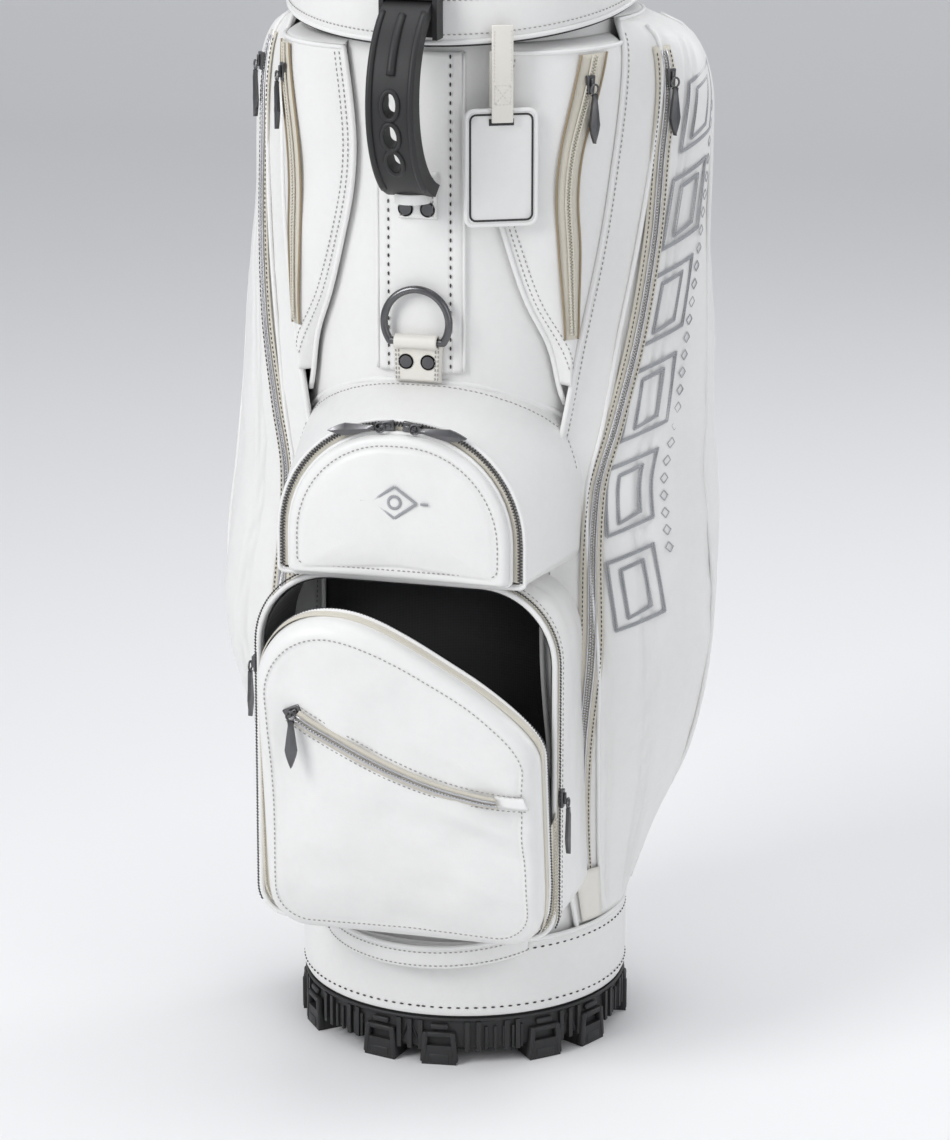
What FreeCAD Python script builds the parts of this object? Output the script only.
"""Golf staff bag: a stiff tube on a moulded base, wrapped in smooth leather-look fabric.

Zipped pockets are sewn round the tube, and the club compartments open at its slanted top.
The frame has +Z up, the bag's front towards -Y and its origin at the base's centre on the floor.
Angles round the bag are measured from the front (-Y) towards +X, in degrees.
"""
import FreeCAD, Part
import math
import os

import Sketcher

V = FreeCAD.Vector
doc = FreeCAD.newDocument("GolfStaffBag")

# ---------------------------------------------------------------- driving dimensions (mm, degrees)
SIZES = {
    "base_radius": 125, "foot_height": 11, "foot_length": 25, "foot_reach": 5, "base_top": 39,
    "base_wall": 5, "base_floor": 5, "rib_reach": 3, "rib_width": 3,
    "cuff_radius": 127.5, "cuff_wall": 2.2, "cuff_low": 39.5, "cuff_top": 98,
    "core_radius": 119, "core_wall": 2, "core_low": 17, "skin_radius": 121, "skin_wall": 1.7,
    "top_height": 862, "top_angle": 9, "collar_radius": 132, "collar_inner": 112,
    "collar_depth": 48, "collar_lip": 8, "collar_round": 5, "wrap_wall": 1.6,
    "grid_outer": 111.4, "grid_inner": 104, "grid_bar": 9, "grid_depth": 22, "grid_drop": 10,
    "row_offset": 38, "divider_wall": 2.4, "divider_low": 24, "pad_thick": 6,
    "spine_half": 34, "spine_wall": 2.6, "spine_low": 548, "spine_top": 788,
    "pocket_wall": 2.4, "garment_back": 150, "upper_bulge": 8,
    "ball_half": 116, "ball_low": 124, "ball_top": 398, "ball_round": 58, "ball_foot_round": 22,
    "ball_rim": 160, "ball_gap": 4, "flap_depth": 30, "flap_round": 14, "flap_open": 8,
    "arch_half": 94, "arch_low": 401, "arch_centre": 428, "arch_rim": 172, "arch_spread": 21,
    "arch_rise": 40, "arch_root": 60, "panel_half": 85, "panel_depth": 11, "panel_round": 6,
    "accessory_x": 50, "accessory_z": 520, "accessory_radius": 236, "accessory_width": 13,
    "accessory_start": -32.5, "accessory_end": 9,
    "slider_long": 14, "slider_wide": 8, "slider_thick": 5, "pull_long": 38, "pull_wide": 8,
    "pull_thick": 2.2, "tape_wall": 1.2,
    "ring_radius": 25, "ring_wire": 2.9, "ring_z": 587, "ring_drop": 14.3, "ring_y": 130.2,
    "tab_half": 16.5, "tab_low": 541, "handle_half": 18, "handle_low": 684, "handle_top": 828,
    "handle_bow": 196, "handle_thick": 15, "handle_foot": 141,
    "tag_width": 54, "tag_length": 86, "tag_thick": 3, "tag_angle": 27, "tag_top": 748,
    "tag_radius": 137.5, "grab_reach": 44, "grab_half": 80, "grab_width": 16, "grab_wall": 3.6,
    "grab_y": 104, "grab_z": 98, "grab_tilt": 6, "rivet_radius": 4.6, "rivet_height": 2,
    "hub_radius": 26, "screw_radius": 4, "screw_height": 2.4, "screw_ring": 88,
    "zip_lift": 1.6, "zip_top": 778, "slider_lift": 4.4, "tab_lift": 1.7, "hole_half": 5, "loop_front": 9.5,
    "tab_wall": 1.4, "handle_inner": 136.4,
}
sheet = doc.addObject("Spreadsheet::Sheet", "Sizes")
for row, (alias, value) in enumerate(SIZES.items(), start=1):
    sheet.set("A%d" % row, alias)
    sheet.set("B%d" % row, str(value))
    sheet.setAlias("B%d" % row, alias)
doc.recompute()


def size(name):
    """A driving dimension, as it stands in the sheet."""
    return float(getattr(sheet, name))


# Side pocket stations from the bottom up: height, front edge's angle, front edge's radius,
# how far the pocket bulges, how far back the bulge sits, and the zip's step from the edge.
GARMENT = [
    (100, 60, 124.6, 4, 1.00, 4), (160, 54, 125, 23, 1.00, 4.5), (235, 48, 125, 54, 0.95, 6),
    (330, 44, 125, 71, 0.88, 9), (450, 45, 126, 70, 1.25, 13), (500, 50, 130, 66, 1.25, 14),
    (565, 55, 135, 62, 1.25, 16), (640, 63, 138, 58, 1.20, 15), (700, 69, 138, 58, 1.15, 13),
    (750, 74, 137, 57, 1.10, 12), (785, 77, 134, 42, 1.05, 11), (804, 78, 127, 8, 1.00, 11),
]
# Upper pocket stations: height, front edge's angle, and the zip's two edges.
UPPER = [
    (536, 49.6, 50.6, 51.4), (565, 46, 48.6, 53), (600, 37.5, 46.8, 53), (640, 31, 45, 53),
    (680, 26, 44, 52), (715, 24.5, 45.4, 54), (750, 26, 49, 59.5), (788, 29, 53.5, 65.5),
]


def station(table, column, height):
    """Smooth value of one column of a station table at a height (a cubic through its rows)."""
    rows = [table[0]] + list(table) + [table[-1]]
    for k in range(1, len(rows) - 2):
        if height <= rows[k + 1][0] or k == len(rows) - 3:
            break
    before, low, high, after = rows[k - 1:k + 3]
    span = high[0] - low[0]
    t = (height - low[0]) / span
    slope_low = (high[column] - before[column]) / (high[0] - before[0]) * span
    slope_high = (after[column] - low[column]) / (after[0] - low[0]) * span
    return ((2 * t ** 3 - 3 * t ** 2 + 1) * low[column] + (t ** 3 - 2 * t ** 2 + t) * slope_low
            + (3 * t ** 2 - 2 * t ** 3) * high[column] + (t ** 3 - t ** 2) * slope_high)


def garment_radius(height, angle):
    """Outer radius of a side pocket at an angle."""
    front = station(GARMENT, 1, height)
    t = min(max((angle - front) / (size("garment_back") - front), 0), 1)
    edge = station(GARMENT, 2, height) * (1 - t) + 124.5 * t
    return edge + station(GARMENT, 3, height) * math.sin(math.pi * t ** station(GARMENT, 4, height)) ** 1.3


def upper_edges(height):
    """The upper pocket's two edges: its own curve in front, the side pocket's edge behind."""
    return station(UPPER, 1, height), station(GARMENT, 1, height) - 0.7


def upper_radius(height, angle):
    """Outer radius of an upper pocket at an angle."""
    front, back = upper_edges(height)
    t = min(max((angle - front) / (back - front), 0), 1)
    edge = 125.5 * (1 - t) + station(GARMENT, 2, height) * t
    return edge + size("upper_bulge") * math.sin(math.pi * t)


# ---------------------------------------------------------------- helpers
def polar(angle, radius, height):
    """Point at an angle round the bag, counted from the front towards +X."""
    turn = math.radians(angle)
    return V(radius * math.sin(turn), -radius * math.cos(turn), height)


def levels(low, high, step=26):
    """Heights from low to high, evenly spaced."""
    count = max(2, round((high - low) / step))
    return [low + (high - low) * k / count for k in range(count + 1)]


def patch(side, edges, outer, inner, low, high, across=10, step=26):
    """Solid between two radii over a stretch of angle that changes with height."""
    skins = []
    for radius in (outer, inner):
        grid = []
        for height in levels(low, high, step):
            first, last = edges(height)
            angles = [first + (last - first) * k / across for k in range(across + 1)]
            grid.append([polar(side * angle, radius(height, angle), height) for angle in angles])
        skin = Part.BSplineSurface()
        skin.interpolate(grid)
        skins.append(skin)
    front, back = skins
    u_low, u_high, v_low, v_high = front.bounds()
    faces = [front.toShape(), back.toShape()]
    faces += [Part.makeRuledSurface(front.vIso(v).toShape(), back.vIso(v).toShape()) for v in (v_low, v_high)]
    faces += [Part.makeRuledSurface(front.uIso(u).toShape(), back.uIso(u).toShape()) for u in (u_low, u_high)]
    solid = Part.makeSolid(Part.makeShell(faces))
    if solid.Volume < 0:
        solid.reverse()
    return solid


def garment_block(side, lift=0, inset=0, inner=None, low=100, high=804):
    """A side pocket's outer shape, grown or shrunk by a lift."""
    inner = inner or size("skin_radius") + 0.4
    return patch(side, lambda h: (station(GARMENT, 1, h) + inset, size("garment_back") - inset),
                 lambda h, a: garment_radius(h, a) + lift, lambda h, a: inner, low, high)


def feature(label, shape, placement=None):
    """Sub-part whose shape is worked out from the sheet's sizes."""
    thing = doc.addObject("Part::Feature", label)
    thing.Label = label
    thing.Shape = shape
    if placement:
        thing.Placement = placement
    return thing


def biggest(shape):
    """The largest solid of a shape, without the crumbs a cut can leave."""
    return max(shape.Solids, key=lambda solid: solid.Volume)


def ring_solid(outer, inner, low, high):
    """Upright tube."""
    return Part.makeCylinder(outer, high - low, V(0, 0, low)).cut(
        Part.makeCylinder(inner, high - low + 2, V(0, 0, low - 1)))


def slanted(low, high):
    """Block between two planes parallel to the bag's slanted top, counted from that top."""
    block = Part.makeBox(400, 400, high - low, V(-200, -200, low))
    block.rotate(V(0, 0, 0), V(1, 0, 0), size("top_angle"))
    block.translate(V(0, 0, size("top_height")))
    return block


def outline(half, low, high, top_round, foot_round, depth):
    """Rounded outline in the plane Y = -depth, made of lines and quarter arcs."""
    def corner(cx, cz, radius, start):
        bend = [math.radians(start + 45 * k) for k in range(3)]
        return Part.Arc(*[V(cx + radius * math.cos(b), -depth, cz + radius * math.sin(b)) for b in bend])
    arcs = [corner(half - foot_round, low + foot_round, foot_round, -90),
            corner(half - top_round, high - top_round, top_round, 0),
            corner(top_round - half, high - top_round, top_round, 90),
            corner(foot_round - half, low + foot_round, foot_round, 180)]
    shapes = [arc.toShape() for arc in arcs]
    edges = []
    for k, shape in enumerate(shapes):
        here = shape.valueAt(shape.LastParameter)
        there = shapes[(k + 1) % 4].valueAt(shapes[(k + 1) % 4].FirstParameter)
        edges.append(shape)
        if here.distanceToPoint(there) > 0.01:
            edges.append(Part.makeLine(here, there))
    return Part.Wire(edges)


def prism(half, low, high, top_round, foot_round, near, far):
    """Rounded outline pushed forward from Y = -near to Y = -far."""
    return Part.Face(outline(half, low, high, top_round, foot_round, near)).extrude(V(0, near - far, 0))


def ball_prism(grow, near, far):
    """The ball pocket's outline, grown outwards, as a prism."""
    return prism(size("ball_half") + grow, size("ball_low") - grow, size("ball_top") + grow,
                 size("ball_round") + grow, size("ball_foot_round") + grow, near, far)


def arch_prism(half, low, near, far):
    """The upper pocket's arch as a prism: upright legs under a half circle."""
    return prism(half, low, size("arch_centre") + half, half - 0.01, 4, near, far)


def box_between(low, high):
    """Box from one corner to the opposite one."""
    return Part.makeBox(high[0] - low[0], high[1] - low[1], high[2] - low[2], V(*low))


def rounded(shape, radius, chosen):
    """Shape with the chosen edges rounded."""
    return shape.makeFillet(radius, [edge for edge in shape.Edges if chosen(edge)])


def new_body(label):
    body = doc.addObject("PartDesign::Body", label)
    body.Label = label
    return body


def sketch_on(body, name, role, lift=None):
    """Empty sketch on one of the body's own origin planes."""
    sketch = body.newObject("Sketcher::SketchObject", name)
    plane = [item for item in body.Origin.OriginFeatures if item.Role == role][0]
    sketch.AttachmentSupport = [(plane, "")]
    sketch.MapMode = "FlatFace"
    if lift:
        sketch.setExpression("AttachmentOffset.Base.z", lift)
    return sketch


def polygon(sketch, corners):
    """Closed outline whose every corner is bound to the sheet."""
    values = [[float(FreeCAD.Units.Quantity(sheet.evalExpression(text)).Value) for text in corner]
              for corner in corners]
    first = sketch.GeometryCount
    count = len(corners)
    for k in range(count):
        here, there = values[k], values[(k + 1) % count]
        sketch.addGeometry(Part.LineSegment(V(here[0], here[1], 0), V(there[0], there[1], 0)), False)
    for k in range(count):
        following = first + (k + 1) % count
        sketch.addConstraint(Sketcher.Constraint("Coincident", first + k, 2, following, 1))
    for k in range(count):
        for axis, kind in enumerate(("DistanceX", "DistanceY")):
            number = sketch.addConstraint(
                Sketcher.Constraint(kind, -1, 1, first + k, 1, values[k][axis]))
            sketch.setExpression("Constraints[%d]" % number, corners[k][axis])


def revolve(body, name, corners):
    """Turned solid: outline of radius and height pairs, spun about the bag's axis."""
    sketch = sketch_on(body, name + "Profile", "XZ_Plane")
    polygon(sketch, corners)
    spin = body.newObject("PartDesign::Revolution", name)
    spin.Profile = sketch
    spin.ReferenceAxis = (sketch, ["V_Axis"])
    spin.Angle = 360
    return spin


def pad(body, name, sketch, length, reverse=False, both=False):
    """Sketch raised to a solid."""
    raised = body.newObject("PartDesign::Pad", name)
    raised.Profile = sketch
    raised.setExpression("Length", length)
    raised.Reversed = reverse
    raised.Midplane = both
    return raised


def bound_cylinder(name, radius, height, place):
    """Cylinder whose radius and height are bound to the sheet."""
    thing = doc.addObject("Part::Cylinder", name)
    thing.setExpression("Radius", radius)
    thing.setExpression("Height", height)
    thing.Placement = place
    return thing


parts = []

# ---------------------------------------------------------------- base
FOOT_PAIRS = 6
FOOT_TURN = -4


def base_cup():
    """Moulded base: a cup with six pairs of chunky feet and ribs round its wall."""
    body = new_body("base_cup")
    revolve(body, "CupWall", [
        ("0", "0"), ("Sizes.hub_radius", "0"), ("Sizes.hub_radius", "Sizes.foot_height"),
        ("Sizes.base_radius - 3", "Sizes.foot_height"),
        ("Sizes.base_radius", "Sizes.foot_height + 3"), ("Sizes.base_radius", "Sizes.base_top"),
        ("Sizes.base_radius - Sizes.base_wall", "Sizes.base_top"),
        ("Sizes.base_radius - Sizes.base_wall", "Sizes.foot_height + Sizes.base_floor"),
        ("0", "Sizes.foot_height + Sizes.base_floor")])
    feet = sketch_on(body, "FootOutline", "XY_Plane")
    for start in (-17, 5):
        corners = [polar(FOOT_TURN + start + step, radius, 0)
                   for step, radius in ((0, 104), (0, size("base_radius") + size("foot_reach")),
                                        (12, size("base_radius") + size("foot_reach")), (12, 104))]
        polygon(feet, [("%.4f * Sizes.base_radius" % (c.x / size("base_radius")),
                        "%.4f * Sizes.base_radius" % (c.y / size("base_radius"))) for c in corners])
    legs = pad(body, "Feet", feet, "Sizes.foot_height + Sizes.base_floor - 0.5")
    ribs = sketch_on(body, "RibOutline", "XY_Plane", "Sizes.foot_height")
    for start in (-26, -22, -4.5, -0.5, 3.5, 20, 24):
        corners = [polar(FOOT_TURN + start + step, radius, 0)
                   for step, radius in ((0, 121), (0, size("base_radius") + size("rib_reach")),
                                        (1.6, size("base_radius") + size("rib_reach")), (1.6, 121))]
        polygon(ribs, [("%.4f * Sizes.base_radius" % (c.x / size("base_radius")),
                        "%.4f * Sizes.base_radius" % (c.y / size("base_radius"))) for c in corners])
    walls = pad(body, "Ribs", ribs, "Sizes.base_top - Sizes.foot_height - 4")
    doc.recompute()
    around = body.newObject("PartDesign::PolarPattern", "AllRound")
    around.Originals = [legs, walls]
    around.Axis = (feet, ["N_Axis"])
    around.Angle = 360
    around.Occurrences = FOOT_PAIRS
    body.Tip = around
    return body


def base_cuff():
    """Leather band round the bottom of the tube."""
    body = new_body("base_cuff")
    revolve(body, "Band", [
        ("Sizes.cuff_radius - Sizes.cuff_wall", "Sizes.cuff_low"), ("Sizes.cuff_radius", "Sizes.cuff_low"),
        ("Sizes.cuff_radius", "Sizes.cuff_top"), ("Sizes.cuff_radius - Sizes.cuff_wall", "Sizes.cuff_top")])
    return body


def cuff_backing():
    """Foam under the cuff, between it and the tube's skin."""
    body = new_body("cuff_foam")
    revolve(body, "Foam", [
        ("Sizes.skin_radius + 0.3", "Sizes.cuff_low + 1"),
        ("Sizes.cuff_radius - Sizes.cuff_wall - 0.3", "Sizes.cuff_low + 1"),
        ("Sizes.cuff_radius - Sizes.cuff_wall - 0.3", "Sizes.cuff_top - 1"),
        ("Sizes.skin_radius + 0.3", "Sizes.cuff_top - 1")])
    return body


def floor_pad():
    """Soft disc that the clubs' grips land on."""
    body = new_body("floor_pad")
    revolve(body, "Disc", [
        ("0", "Sizes.core_low"), ("Sizes.core_radius - Sizes.core_wall - 1", "Sizes.core_low"),
        ("Sizes.core_radius - Sizes.core_wall - 1", "Sizes.core_low + Sizes.pad_thick"),
        ("0", "Sizes.core_low + Sizes.pad_thick")])
    return body


def base_screws():
    """Self-tapping screws up through the base's floor, heads in its underside."""
    screws = []
    for k in range(FOOT_PAIRS):
        place = FreeCAD.Placement(polar(60 * k + 26, size("screw_ring"), 0), FreeCAD.Rotation())
        head = bound_cylinder("ScrewHead%d" % k, "Sizes.screw_radius", "Sizes.screw_height", place)
        head.setExpression("Placement.Base.z", "Sizes.foot_height - 2.5")
        screws.append(head)
    group = doc.addObject("Part::Compound", "base_screws")
    group.Label = "base_screws"
    group.Links = screws
    return group


parts += [base_cup(), base_cuff(), cuff_backing(), floor_pad(), base_screws()]

# ---------------------------------------------------------------- tube, skin, collar and dividers
def core_shell():
    """Stiff tube that carries the whole bag."""
    tube = ring_solid(size("core_radius"), size("core_radius") - size("core_wall"),
                      size("core_low"), 900)
    return feature("core_shell", tube.cut(slanted(-size("collar_lip") - 0.4, 150)))


def body_skin():
    """Leather wrapped round the tube."""
    tube = ring_solid(size("skin_radius"), size("skin_radius") - size("skin_wall"),
                      size("cuff_low") + 1, 900)
    return feature("body_skin", tube.cut(slanted(-size("collar_lip") - 0.4, 150)))


def top_collar():
    """Moulded rim that caps the tube, open in the middle."""
    tall = ring_solid(size("collar_radius"), size("collar_inner"), 700, 960)
    rim = tall.common(slanted(-size("collar_depth"), 0))
    groove = Part.makeCylinder(size("skin_radius") + 0.4, 300, V(0, 0, 650))
    rim = rim.cut(groove.common(slanted(-size("collar_depth") - 60, -size("collar_lip"))))
    top = size("top_height") - 25
    return feature("top_collar", rounded(rim, size("collar_round"), lambda edge: (
        edge.BoundBox.ZMin > top and edge.BoundBox.ZMax > top + 32)))


def collar_wrap():
    """Leather band sewn round the collar."""
    band = ring_solid(size("collar_radius") + 0.3 + size("wrap_wall"), size("collar_radius") + 0.3, 700, 960)
    return feature("collar_wrap", band.common(slanted(3 - size("collar_depth"), -9)))


def divider_grid():
    """Moulded grid in the mouth: one bar front to back, two across, six compartments."""
    slab = slanted(-size("grid_drop") - size("grid_depth"), -size("grid_drop"))
    ring = ring_solid(size("grid_outer"), size("grid_inner"), 700, 960)
    half = size("grid_bar") / 2
    bars = [box_between((-half, -107, 700), (half, 107, 960))]
    for row in (-size("row_offset"), size("row_offset")):
        bars.append(box_between((-106, row - half, 700), (106, row + half, 960)))
    return feature("divider_grid", ring.fuse(bars).common(slab).removeSplitter())


def dividers():
    """Fabric walls that hang from the grid to the floor pad."""
    wall = size("divider_wall") / 2
    under = slanted(-size("grid_drop") - size("grid_depth") - 0.3, 300)
    reach = math.sqrt(size("grid_inner") ** 2 - size("row_offset") ** 2)
    long_wall = box_between((-wall, -size("grid_inner"), size("divider_low")),
                            (wall, size("grid_inner"), 900))
    yield feature("divider_long", long_wall.cut(under))
    for name, row in (("divider_front", -size("row_offset")), ("divider_rear", size("row_offset"))):
        halves = []
        for side in (-1, 1):
            near, far = sorted((side * (wall + 0.4), side * reach))
            halves.append(box_between((near, row - wall, size("divider_low")),
                                      (far, row + wall, 900)).cut(under))
        yield feature(name, Part.makeCompound(halves))


parts += [core_shell(), body_skin(), top_collar(), collar_wrap(), divider_grid()] + list(dividers())

# ---------------------------------------------------------------- front strip, handle, ring, tag
def front_spine():
    """Raised strip down the middle of the front."""
    wide = ring_solid(size("skin_radius") + 0.3 + size("spine_wall"), size("skin_radius") + 0.3,
                      size("spine_low"), size("spine_top"))
    return feature("front_spine", wide.common(box_between(
        (-size("spine_half"), -200, size("spine_low")), (size("spine_half"), 0, size("spine_top")))))


def back_pad():
    """Padded panel down the middle of the back."""
    return feature("back_pad", patch(
        1, lambda h: (153, 207), lambda h, a: 127.5 + 2 * math.sin(math.pi * (a - 153) / 54),
        lambda h, a: size("skin_radius") + 0.4, 104, 812, across=6, step=240))


def upper_handle():
    """Moulded carrying handle, bowed out from the bag, with three oval holes."""
    low, top, bow = size("handle_low"), size("handle_top"), size("handle_bow")
    foot, thick, half = size("handle_foot"), size("handle_thick"), size("handle_half")
    middle = (low + top) / 2 + 8
    outer = Part.Arc(V(-half, -foot, low), V(-half, -bow, middle), V(-half, -146, top)).toShape()
    back = V(-half, -size("handle_inner"), top - 4)
    inner = Part.Arc(back, V(-half, thick - bow, middle), V(-half, 12 - foot, low + 7)).toShape()
    side = Part.Wire([outer, Part.makeLine(outer.valueAt(outer.LastParameter), back),
                      inner, Part.makeLine(V(-half, 12 - foot, low + 7), V(-half, -foot, low))])
    grip = Part.Face(side).extrude(V(2 * half, 0, 0))
    half = size("hole_half")
    lean = V(0, -1, -0.15)
    for height, slot in ((731, 6), (752, 7), (775, 8)):
        ends = [Part.makeCylinder(half, 160, V(0, -60, height + rise), lean) for rise in (0, slot)]
        web = Part.Face(Part.makePolygon([V(-half, -60, height), V(half, -60, height), V(half, -60, height + slot),
                                          V(-half, -60, height + slot), V(-half, -60, height)]))
        grip = grip.cut(ends[0].fuse([ends[1], web.extrude(lean * (160 / lean.Length))]))
    return feature("upper_handle", biggest(grip))


def handle_mounts():
    """Leather loop under the handle's foot, and the moulded bracket that holds its top."""
    half, low = 13, size("handle_low")
    back = size("skin_radius") + size("spine_wall") + 0.9
    plate = box_between((-half, -back - 3, low - 18), (half, -back, low + 14))
    loop = box_between((-half, -size("handle_foot") - size("loop_front") - 3, low - 6), (half, -back, low + 2))
    room = box_between((-half - 1, -size("handle_foot") - size("loop_front"), low - 2.5),
                       (half + 1, -back - 3, low + 3))
    yield feature("handle_loop", plate.fuse(loop).cut(room).removeSplitter())
    outer = box_between((-22, -150, 800), (22, -size("collar_radius") - 2.4, 836))
    channel = box_between((-18.5, -160, 799), (18.5, -size("collar_radius") - 3.6, 829))
    yield feature("handle_bracket", outer.cut(channel))


def strap_ring():
    """Metal D-ring for the shoulder strap, bent from round wire."""
    radius, drop, wire = size("ring_radius"), size("ring_drop"), size("ring_wire")
    half = math.sqrt(radius ** 2 - drop ** 2)
    ends = [V(half, 0, -drop), V(-half, 0, -drop)]
    bow = Part.Wire([Part.Arc(ends[0], V(0, 0, radius), ends[1]).toShape()])
    section = Part.Wire([Part.makeCircle(wire, ends[0], V(drop, 0, half))])
    bar = Part.makeCylinder(wire, 2 * half, ends[1], V(1, 0, 0))
    corners = [Part.makeSphere(wire, end) for end in ends]
    bent = bow.makePipeShell([section], True, False).fuse([bar] + corners)
    return feature("strap_ring", bent, FreeCAD.Placement(V(0, -size("ring_y"), size("ring_z")),
                                                        FreeCAD.Rotation()))


def ring_tab():
    """Leather tab that folds round the ring's straight bar."""
    half, low = size("tab_half"), size("tab_low")
    bar = V(-half, -size("ring_y"), size("ring_z") - size("ring_drop"))
    back = size("skin_radius") + size("spine_wall") + 0.9
    sleeve = Part.makeCylinder(size("ring_wire") + 2.2, 2 * half, bar, V(1, 0, 0))
    plate = box_between((-half, -back - 3, low), (half, -back, bar.z))
    bore = Part.makeCylinder(size("ring_wire") + 0.35, 2 * half + 2, bar - V(1, 0, 0), V(1, 0, 0))
    return feature("ring_tab", sleeve.fuse(plate).cut(bore))


def tab_rivets():
    """Four rivets: two in the handle's loop, two in the ring's tab."""
    rivets = []
    face = size("skin_radius") + size("spine_wall") + 4.2
    for k, (x, z) in enumerate(((-8.5, 672), (8.5, 672), (-8.5, 557), (8.5, 557))):
        place = FreeCAD.Placement(V(x, -face, z), FreeCAD.Rotation(V(1, 0, 0), 90))
        rivets.append(bound_cylinder("Rivet%d" % k, "Sizes.rivet_radius", "Sizes.rivet_height", place))
    group = doc.addObject("Part::Compound", "tab_rivets")
    group.Label = "tab_rivets"
    group.Links = rivets
    return group


def name_tag():
    """Flat tag with rounded corners and a slot for its strap."""
    body = new_body("name_tag")
    sketch = sketch_on(body, "TagOutline", "XZ_Plane")
    polygon(sketch, [("-Sizes.tag_width / 2", "-Sizes.tag_length"), ("Sizes.tag_width / 2", "-Sizes.tag_length"),
                     ("Sizes.tag_width / 2", "0"), ("-Sizes.tag_width / 2", "0")])
    plate = pad(body, "Plate", sketch, "Sizes.tag_thick")
    doc.recompute()
    upright = ["Edge%d" % (k + 1) for k, edge in enumerate(plate.Shape.Edges)
               if abs(edge.BoundBox.YLength - size("tag_thick")) < 0.01 and edge.BoundBox.XLength < 0.01
               and edge.BoundBox.ZLength < 0.01]
    soft = body.newObject("PartDesign::Fillet", "Corners")
    soft.Base = (plate, upright)
    soft.Radius = 5
    slot = sketch_on(body, "SlotOutline", "XZ_Plane")
    polygon(slot, [("-9", "-12"), ("9", "-12"), ("9", "-7"), ("-9", "-7")])
    cut = body.newObject("PartDesign::Pocket", "Slot")
    cut.Profile = slot
    cut.Type = "ThroughAll"
    cut.Midplane = True
    angle = size("tag_angle")
    body.Placement = FreeCAD.Placement(polar(angle, size("tag_radius"), size("tag_top")),
                                       FreeCAD.Rotation(V(0, 0, 1), angle))
    return body


def tag_strap():
    """Leather strap through the tag's slot, sewn to the collar's lower edge."""
    angle, length = size("tag_angle"), 62
    loop = box_between((-8, -6.4, -9.4), (8, -4.4, length))
    back = box_between((-8, 1.4, -9.4), (8, 3.2, length - 20))
    foot = box_between((-8, -6.4, -9.4), (8, 3.2, -7.8))
    head = box_between((-8, -6.4, length - 22), (8, 3.2, length - 20))
    shape = loop.fuse([back, foot, head]).removeSplitter()
    return feature("tag_strap", shape, FreeCAD.Placement(
        polar(angle, size("tag_radius"), size("tag_top")), FreeCAD.Rotation(V(0, 0, 1), angle)))


def lower_grab_handle():
    """Short leather strap that bows out from the cuff, for lifting the bag's foot."""
    half, reach, wall = size("grab_half"), size("grab_reach"), size("grab_wall")
    outer = Part.Arc(V(-half, 0, 0), V(0, -reach, 0), V(half, 0, 0)).toShape()
    inner = Part.Arc(V(half - wall - 1, 0, 0), V(0, wall - reach, 0), V(wall + 1 - half, 0, 0)).toShape()
    ends = [Part.makeLine(V(half, 0, 0), V(half - wall - 1, 0, 0)),
            Part.makeLine(V(wall + 1 - half, 0, 0), V(-half, 0, 0))]
    band = Part.Face(Part.Wire([outer, ends[0], inner, ends[1]])).extrude(V(0, 0, size("grab_width")))
    band.translate(V(0, 0, -size("grab_width") / 2))
    place = FreeCAD.Placement(V(0, -size("grab_y"), size("grab_z")),
                              FreeCAD.Rotation(V(1, 0, 0), size("grab_tilt")))
    return feature("lower_grab_handle", band, place)


parts += [front_spine(), back_pad(), upper_handle()] + list(handle_mounts())
parts += [strap_ring(), ring_tab(), tab_rivets(), name_tag(), tag_strap(), lower_grab_handle()]

# ---------------------------------------------------------------- side pockets and their zips
SIDES = {"left": -1, "right": 1}


def garment_pocket(name, side):
    """Tall side pocket: a thin-walled blister on the tube."""
    wall = size("pocket_wall")
    inside = garment_block(side, -wall, 1.6, 112, 100 + wall, 804 - wall)
    return feature(name + "_garment_pocket", biggest(garment_block(side).cut(inside)))


def upper_pocket(name, side):
    """Slim pocket beside the front strip."""
    wall = size("pocket_wall")
    shell = patch(side, upper_edges, upper_radius, lambda h, a: size("skin_radius") + 0.4, 536, 788)
    inside = patch(side, lambda h: (upper_edges(h)[0] + 1.6, upper_edges(h)[1] - 1.6),
                   lambda h, a: upper_radius(h, a) - wall, lambda h, a: 112, 575, 788 - wall)
    return feature(name + "_upper_pocket", biggest(shell.cut(inside)))


def garment_zip(name, side):
    """Long zip down the front of the side pocket."""
    wall = size("tape_wall")
    edges = lambda h: (station(GARMENT, 1, h) + station(GARMENT, 5, h),
                       station(GARMENT, 1, h) + station(GARMENT, 5, h) + 4.6)
    return feature(name + "_garment_zip", patch(
        side, edges, lambda h, a: garment_radius(h, a) + size("zip_lift") + wall,
        lambda h, a: garment_radius(h, a) + size("zip_lift"), 146, size("zip_top"), across=3))


def upper_zip(name, side):
    """Broad zip of the upper pocket."""
    wall = size("tape_wall")
    edges = lambda h: (station(UPPER, 2, h), station(UPPER, 3, h))
    return feature(name + "_upper_zip", patch(
        side, edges, lambda h, a: upper_radius(h, a) + 0.4 + wall,
        lambda h, a: upper_radius(h, a) + 0.4, 575, 782, across=3))


def zip_end_tab(side):
    """Small leather tab over the side zip's lower end."""
    edges = lambda h: (station(GARMENT, 1, h) + station(GARMENT, 5, h) - 1.5,
                       station(GARMENT, 1, h) + station(GARMENT, 5, h) + 8)
    return patch(side, edges, lambda h, a: garment_radius(h, a) + size("tab_lift") + size("tab_wall"),
                 lambda h, a: garment_radius(h, a) + size("tab_lift"), 104, 145, across=2, step=14)


for name, side in SIDES.items():
    parts += [garment_pocket(name, side), upper_pocket(name, side), garment_zip(name, side),
              upper_zip(name, side)]
parts.append(feature("zip_end_tabs", Part.makeCompound([zip_end_tab(side) for side in SIDES.values()])))

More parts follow.
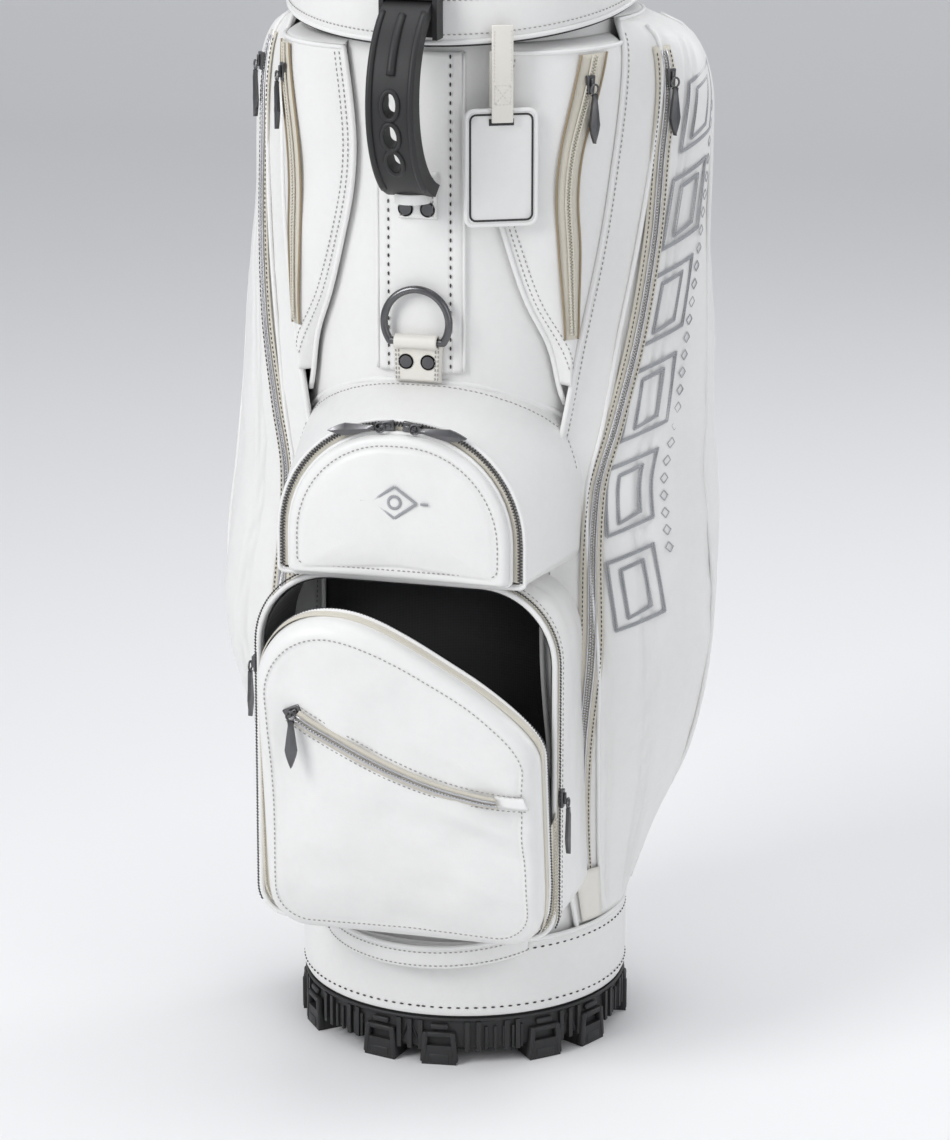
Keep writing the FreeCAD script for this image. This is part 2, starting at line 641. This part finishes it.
# ---------------------------------------------------------------- upper arched pocket
clear_of_sides = [garment_block(side, 3.6, -0.6, 110, 98, 800) for side in SIDES.values()]
bag_round = Part.makeCylinder(size("skin_radius") + 0.6, 900, V(0, 0, 0))


def arch_housing():
    """Gusset that carries the upper pocket out from the bag to its rim."""
    near, far = size("arch_root"), size("arch_rim")

    def funnel(shrink):
        wires = []
        for depth, grow, rise in ((near, size("arch_spread"), size("arch_rise")), (far, 0, 0)):
            half = size("arch_half") + grow - shrink
            top = size("arch_centre") + size("arch_half") + rise - shrink
            wires.append(outline(half, size("arch_low") + shrink, top, half - 6, 4, depth))
        return Part.makeLoft(wires, True, True)
    shell = funnel(0).cut(funnel(3.5).fuse(arch_prism(
        size("arch_half") - 3.5, size("arch_low") + 3.5, far - 1, far + 1)))
    return feature("arch_housing", biggest(shell.cut([bag_round] + clear_of_sides)))


def arch_zip():
    """Zip tape round the upper pocket's rim."""
    front = size("arch_rim") + 0.3
    band = arch_prism(size("arch_half"), size("arch_low"), front, front + size("tape_wall")).cut(
        arch_prism(size("panel_half") + 0.8, size("arch_low") - 4, front - 1, front + 3))
    return feature("arch_zip", band.cut(box_between((-120, -190, 390), (120, -150, size("arch_low") + 4))))


def arch_panel():
    """Front of the upper pocket: a shallow tray that folds down."""
    near, far = size("arch_rim") + 0.3, size("arch_rim") + size("panel_depth")
    tray = arch_prism(size("panel_half"), size("arch_low") + 2, near, far)
    tray = rounded(tray, size("panel_round"), lambda edge: edge.BoundBox.YMax < -far + 0.1)
    hollow = arch_prism(size("panel_half") - 3, size("arch_low") + 5, near - 1, far - 3)
    return feature("arch_panel", tray.cut(hollow))


def crest():
    """Stitched crest on the upper pocket."""
    face = size("arch_rim") + size("panel_depth") + 0.3
    shield = Part.makeCylinder(15, 1, V(0, -face, 464), V(0, -1, 0))
    return feature("embroidered_crest", shield)


parts += [arch_housing(), arch_zip(), arch_panel(), crest()]

# ---------------------------------------------------------------- ball pocket
def ball_gusset():
    """Walls of the big lower pocket, from the bag out to its rim."""
    rim = size("ball_rim")
    walls = ball_prism(0, 60, rim).cut(ball_prism(-3.5, 59, rim + 1))
    return feature("ball_gusset", biggest(walls.cut([bag_round] + clear_of_sides)))


def ball_lining():
    """Black fabric on the back wall inside the ball pocket."""
    sheet_round = ring_solid(size("skin_radius") + 0.5, size("skin_radius") + 0.1, 104, 396)
    return feature("ball_lining", biggest(sheet_round.common(ball_prism(-4, 40, 150)).cut(clear_of_sides)))


def ball_tape(near, far):
    """Zip tape round the outside of the ball pocket's opening."""
    band = ball_prism(0.3 + size("tape_wall"), near, far).cut(ball_prism(0.3, near - 1, far + 1))
    return band.cut(box_between((-130, -230, 90), (130, -100, size("ball_low") + 7)))


def flap_placement():
    """The flap hangs open, turned about the fold at its bottom edge."""
    fold = V(0, -size("ball_rim") - 2, size("ball_low") + 2)
    return FreeCAD.Placement(V(0, 0, 0), FreeCAD.Rotation(V(1, 0, 0), size("flap_open")), fold)


def ball_flap():
    """Front of the ball pocket: a soft tray that folds open about its bottom edge."""
    near = size("ball_rim") + size("ball_gap")
    far = near + size("flap_depth")
    tray = rounded(ball_prism(0, near, far), size("flap_round"), lambda edge: edge.BoundBox.YMax < 0.1 - far)
    hollow = rounded(ball_prism(-3.5, near - 1, far - 3.5), size("flap_round") - 3,
                     lambda edge: edge.BoundBox.YMax < 3.6 - far)
    return feature("ball_flap", tray.cut(hollow), flap_placement())


def accessory_band(radius_low, radius_high, start, end, near, far):
    """Part of a flat ring that follows the accessory zip's curve."""
    centre = V(size("accessory_x"), 0, size("accessory_z"))
    points = []
    for radius, angles in ((radius_low, (start, (start + end) / 2, end)),
                           (radius_high, (end, (start + end) / 2, start))):
        points.append([centre + V(radius * math.sin(math.radians(a)), -near,
                                  -radius * math.cos(math.radians(a))) for a in angles])
    edges = [Part.Arc(*points[0]).toShape(), Part.makeLine(points[0][2], points[1][0]),
             Part.Arc(*points[1]).toShape(), Part.makeLine(points[1][2], points[0][0])]
    return Part.Face(Part.Wire(edges)).extrude(V(0, near - far, 0))


def accessory_zip():
    """Curved zip across the flap, with a leather tab at its right end."""
    face = size("ball_rim") + size("ball_gap") + size("flap_depth") + 0.3
    radius, half = size("accessory_radius"), size("accessory_width") / 2
    start, end = size("accessory_start"), size("accessory_end")
    yield feature("accessory_zip", accessory_band(radius - half, radius + half, start, end, face,
                                                  face + size("tape_wall")), flap_placement())
    yield feature("accessory_end_tab", accessory_band(radius - half - 1, radius + half + 1, end + 0.1, end + 7,
                                                      face, face + 1.6), flap_placement())


parts += [ball_gusset(), ball_lining()]
parts.append(feature("ball_zip", ball_tape(size("ball_rim") - 10, size("ball_rim"))))
parts.append(ball_flap())
flap_rim = size("ball_rim") + size("ball_gap")
parts.append(feature("flap_zip", ball_tape(flap_rim, flap_rim + 10), flap_placement()))
parts += list(accessory_zip())

# ---------------------------------------------------------------- sliders and their pulls
def slider_block():
    """Zip slider in its own frame: the zip runs along Z, and the slider stands out along -Y."""
    long, wide, thick = size("slider_long"), size("slider_wide"), size("slider_thick")
    block = box_between((-wide / 2, -thick, -long / 2), (wide / 2, 0, long / 2))
    return rounded(block, 1.4, lambda edge: edge.BoundBox.YLength < 0.01 and edge.BoundBox.YMax < -1)


def pull_leaf():
    """Long leaf-shaped pull in the slider's frame, hanging down its front."""
    wide, long = size("pull_wide") / 2, size("pull_long")
    front = -size("slider_thick") - 0.5
    corners = [(-1.5, 0), (-2.5, -8), (-wide, -18), (-wide * 0.75, -long * 0.8), (0, -long),
               (wide * 0.75, -long * 0.8), (wide, -18), (2.5, -8), (1.5, 0)]
    wire = Part.makePolygon([V(x, front, z) for x, z in corners + corners[:1]])
    return Part.Face(wire).extrude(V(0, -size("pull_thick"), 0))


def at(position, facing, roll=0, tilt=0):
    """Placement with the slider's -Y turned to an angle round the bag, after rolling about it."""
    turn = FreeCAD.Rotation(V(0, 0, 1), facing).multiply(FreeCAD.Rotation(V(1, 0, 0), tilt)).multiply(
        FreeCAD.Rotation(V(0, -1, 0), roll))
    return FreeCAD.Placement(position, turn)


def arch_slider_place(side):
    """Place of one of the two sliders that meet at the top of the arch."""
    step = side * 6.5
    radius = size("arch_half") - 2.9
    position = V(radius * math.sin(math.radians(step)), -size("arch_rim") - 2.1,
                 size("arch_centre") + radius * math.cos(math.radians(step)))
    return at(position, 0, side * 90 - step)


def ball_slider_place(side, height):
    """Place of a slider on the ball pocket's side zip."""
    return at(V(side * (size("ball_half") + 2.2), -size("ball_rim") + 4.5, height), side * 90)


def accessory_place():
    """Place of the accessory zip's slider, at its left end, on the open flap."""
    face = size("ball_rim") + size("ball_gap") + size("flap_depth") + 2
    radius, angle = size("accessory_radius"), size("accessory_start") + 2.4
    spot = V(size("accessory_x") + radius * math.sin(math.radians(angle)), -face,
             size("accessory_z") - radius * math.cos(math.radians(angle)))
    local = at(spot, 0, 90 - angle)
    return flap_placement().multiply(local), flap_placement().multVec(spot)


def side_slider_places():
    """Places of the four side zips' sliders, parked at the top ends."""
    for name, side in SIDES.items():
        height = 762
        angle = (station(UPPER, 2, height) + station(UPPER, 3, height)) / 2
        yield name + "_upper_pull", at(polar(side * angle, upper_radius(height, angle) + 1.9, height),
                                       side * angle)
        height = 758
        angle = station(GARMENT, 1, height) + station(GARMENT, 5, height) + 2.3
        radius = garment_radius(height, angle)
        slope = math.degrees(math.atan((garment_radius(height, angle + 1) - garment_radius(height, angle - 1))
                                       / (math.radians(2) * radius)))
        yield name + "_garment_pull", at(polar(side * angle, radius + size("slider_lift"), height),
                                         side * (angle - slope))


for name, side in SIDES.items():
    parts.append(feature("arch_slider_" + name, slider_block(), arch_slider_place(side)))
    parts.append(feature("arch_pull_" + name, pull_leaf(), arch_slider_place(side)))
for name, side, height in (("left", -1, 322), ("right", 1, 236)):
    parts.append(feature("ball_slider_" + name, slider_block(), ball_slider_place(side, height)))
    parts.append(feature("ball_pull_" + name, pull_leaf(), ball_slider_place(side, height)))
slider_place, slider_spot = accessory_place()
parts.append(feature("accessory_slider", slider_block(), slider_place))
parts.append(feature("accessory_pull", pull_leaf(), at(slider_spot, 0)))
side_blocks = []
for label, place in side_slider_places():
    block = slider_block()
    block.Placement = place
    side_blocks.append(block)
    parts.append(feature(label, pull_leaf(), place))
parts.append(feature("side_zip_sliders", Part.makeCompound(side_blocks)))

# ---------------------------------------------------------------- check and write
doc.recompute()
failed = [thing.Label for thing in doc.Objects if {"Invalid", "Error"} & set(thing.State)]
if failed:
    raise RuntimeError("these objects failed: " + ", ".join(failed))
for thing in parts:
    if thing.Shape.isNull() or not thing.Shape.isValid():
        raise RuntimeError(thing.Label + " has no valid shape")
    print("%-24s %9.1f cm3 %s" % (thing.Label, thing.Shape.Volume / 1000, len(thing.Shape.Solids)))

os.makedirs("parts", exist_ok=True)
for thing in parts:
    thing.Shape.exportStep("parts/" + thing.Label + ".step")
print(len(parts), "sub-parts written")
